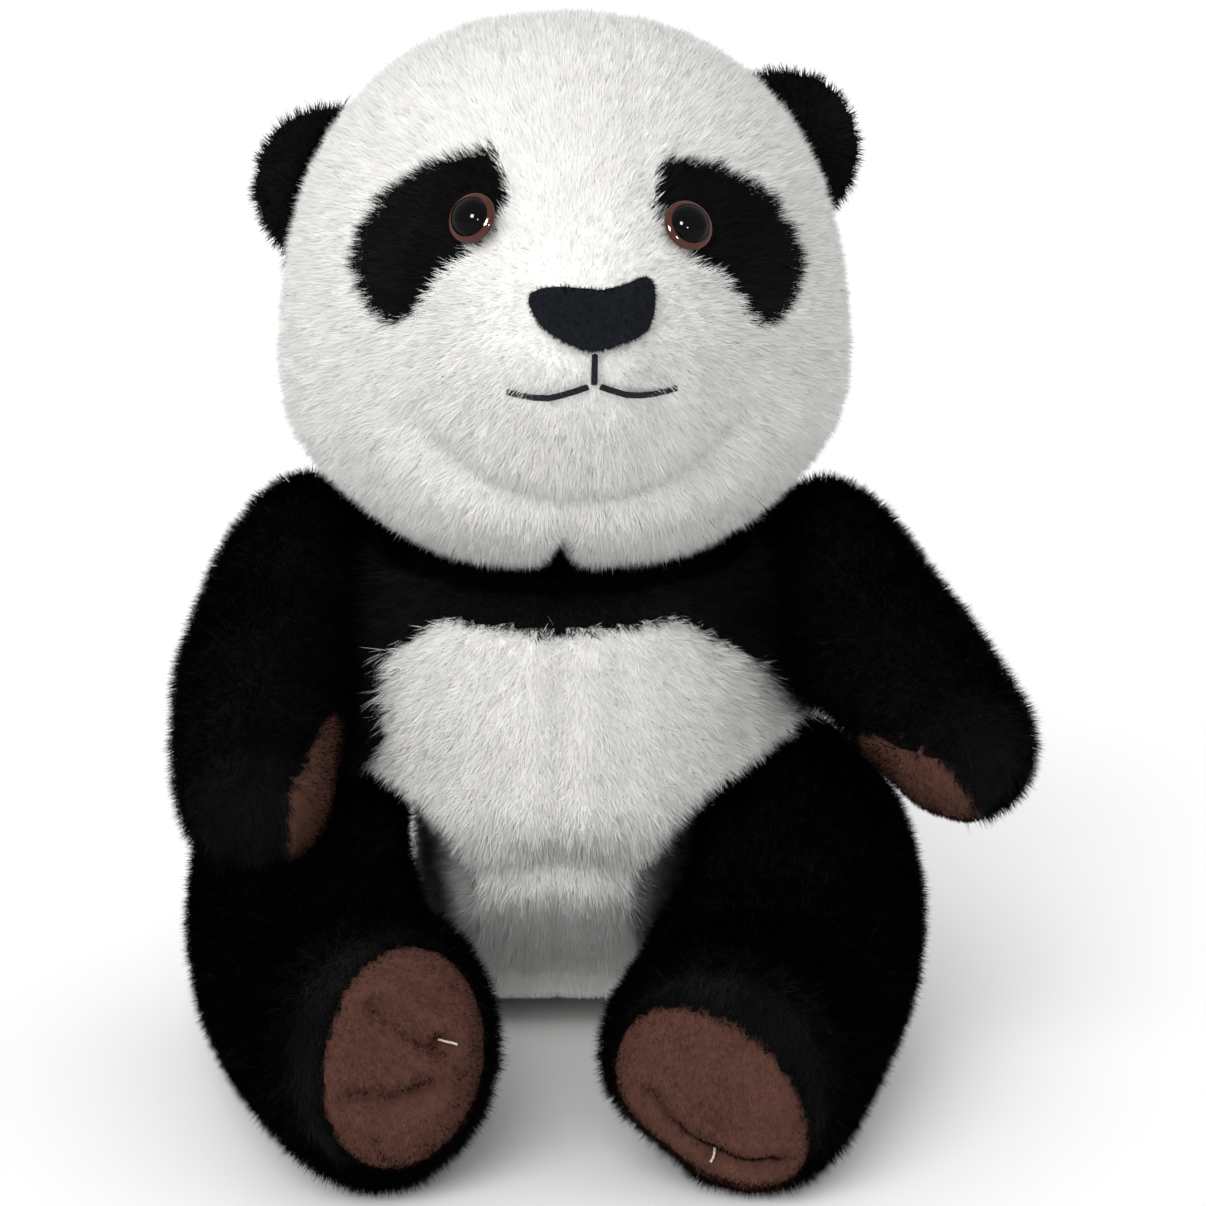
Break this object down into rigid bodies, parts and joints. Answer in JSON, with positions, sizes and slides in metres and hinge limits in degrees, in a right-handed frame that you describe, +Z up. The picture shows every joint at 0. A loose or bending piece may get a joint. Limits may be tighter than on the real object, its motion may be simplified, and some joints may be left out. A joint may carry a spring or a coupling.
{
  "type": "plush panda",
  "caption": "Seated plush panda of sewn fur panels round stuffed cores, with a turning and nodding head, folding ears, and arms and legs that swing on their seams.",
  "frame": {"origin": "on the flat underside of the seat, in the toy's middle plane", "axes": "+Z up, the panda faces -Y, +X to the toy's own left"},
  "size_m": [0.2042, 0.2068, 0.2535],
  "materials": {
    "white_plush": "short dense white pile",
    "black_plush": "short dense black pile",
    "brown_suede": "very short brown nap",
    "nose_cloth": "fine charcoal nap",
    "eye_brown": "polished brown",
    "pupil_black": "polished black",
    "washer_plastic": "moulded natural white",
    "stuffing": "packed polyester fibre",
    "pouch_cloth": "plain woven cotton",
    "black_thread": "twisted embroidery thread",
    "pale_thread": "twisted sewing thread"
  },
  "bodies": {
    "torso": {"torso_stuffing": "stuffing", "bean_pouch": "pouch_cloth", "chest_yoke": "black_plush", "back_yoke": "black_plush", "belly_panel_left": "white_plush", "belly_panel_right": "white_plush", "lower_back_panel_left": "white_plush", "lower_back_panel_right": "white_plush", "seat_panel": "white_plush", "tail": "white_plush", "closing_stitch": "pale_thread"},
    "neck": {"neck_wad": "stuffing"},
    "head": {"head_stuffing": "stuffing", "muzzle_panel": "white_plush", "crown_gusset": "white_plush", "face_panel_left": "white_plush", "face_panel_right": "white_plush", "head_back_panel_left": "white_plush", "head_back_panel_right": "white_plush", "eye_patch_left": "black_plush", "eye_patch_right": "black_plush", "eye_left_iris": "eye_brown", "eye_right_iris": "eye_brown", "eye_left_pupil": "pupil_black", "eye_right_pupil": "pupil_black", "eye_left_washer": "washer_plastic", "eye_right_washer": "washer_plastic", "nose_pad": "nose_cloth", "mouth_thread_centre": "black_thread", "mouth_thread_left": "black_thread", "mouth_thread_right": "black_thread"},
    "ear_left": {"ear_left_front": "black_plush", "ear_left_back": "black_plush", "ear_left_stuffing": "stuffing"},
    "ear_right": {"ear_right_front": "black_plush", "ear_right_back": "black_plush", "ear_right_stuffing": "stuffing"},
    "arm_left": {"arm_left_outer_panel": "black_plush", "arm_left_inner_panel": "black_plush", "arm_left_paw_pad": "brown_suede", "arm_left_stuffing": "stuffing"},
    "arm_right": {"arm_right_outer_panel": "black_plush", "arm_right_inner_panel": "black_plush", "arm_right_paw_pad": "brown_suede", "arm_right_stuffing": "stuffing"},
    "leg_left": {"leg_left_outer_panel": "black_plush", "leg_left_inner_panel": "black_plush", "leg_left_sole": "brown_suede", "leg_left_stuffing": "stuffing"},
    "leg_right": {"leg_right_outer_panel": "black_plush", "leg_right_inner_panel": "black_plush", "leg_right_sole": "brown_suede", "leg_right_stuffing": "stuffing"}
  },
  "joints": [
    {"name": "neck_turn", "type": "hinge", "parent": "torso", "child": "neck", "pos_m": [0, 0.002, 0.13], "axis": [0, 0, 1], "range_deg": [-29.5, 20.5], "stiffness_Nm_per_rad": 0.2},
    {"name": "neck_nod", "type": "hinge", "parent": "neck", "child": "head", "pos_m": [0, 0.002, 0.13], "axis": [-0.9969, -0.0785, 0], "range_deg": [-3, 12], "stiffness_Nm_per_rad": 0.8},
    {"name": "ear_fold_left", "type": "hinge", "parent": "head", "child": "ear_left", "pos_m": [0.05953, 0.01672, 0.2173], "axis": [-0.3377, -0.0266, 0.9409], "range_deg": [-15, 15], "stiffness_Nm_per_rad": 0.02},
    {"name": "ear_fold_right", "type": "hinge", "parent": "head", "child": "ear_right", "pos_m": [-0.0611, 0.00722, 0.2098], "axis": [0.3377, 0.0266, 0.9409], "range_deg": [-15, 15], "stiffness_Nm_per_rad": 0.02},
    {"name": "shoulder_swing_left", "type": "hinge", "parent": "torso", "child": "arm_left", "pos_m": [0.068, 0.004, 0.112], "axis": [-1, 0, 0], "range_deg": [0, 45], "stiffness_Nm_per_rad": 0.06},
    {"name": "shoulder_swing_right", "type": "hinge", "parent": "torso", "child": "arm_right", "pos_m": [-0.066, 0.004, 0.112], "axis": [-1, 0, 0], "range_deg": [0, 45], "stiffness_Nm_per_rad": 0.06},
    {"name": "hip_swing_left", "type": "hinge", "parent": "torso", "child": "leg_left", "pos_m": [0.05, 0.002, 0.043], "axis": [1, 0, 0], "range_deg": [0, 25], "stiffness_Nm_per_rad": 0.12},
    {"name": "hip_swing_right", "type": "hinge", "parent": "torso", "child": "leg_right", "pos_m": [-0.056, 0.002, 0.043], "axis": [1, 0, 0], "range_deg": [0, 25], "stiffness_Nm_per_rad": 0.12}
  ]
}
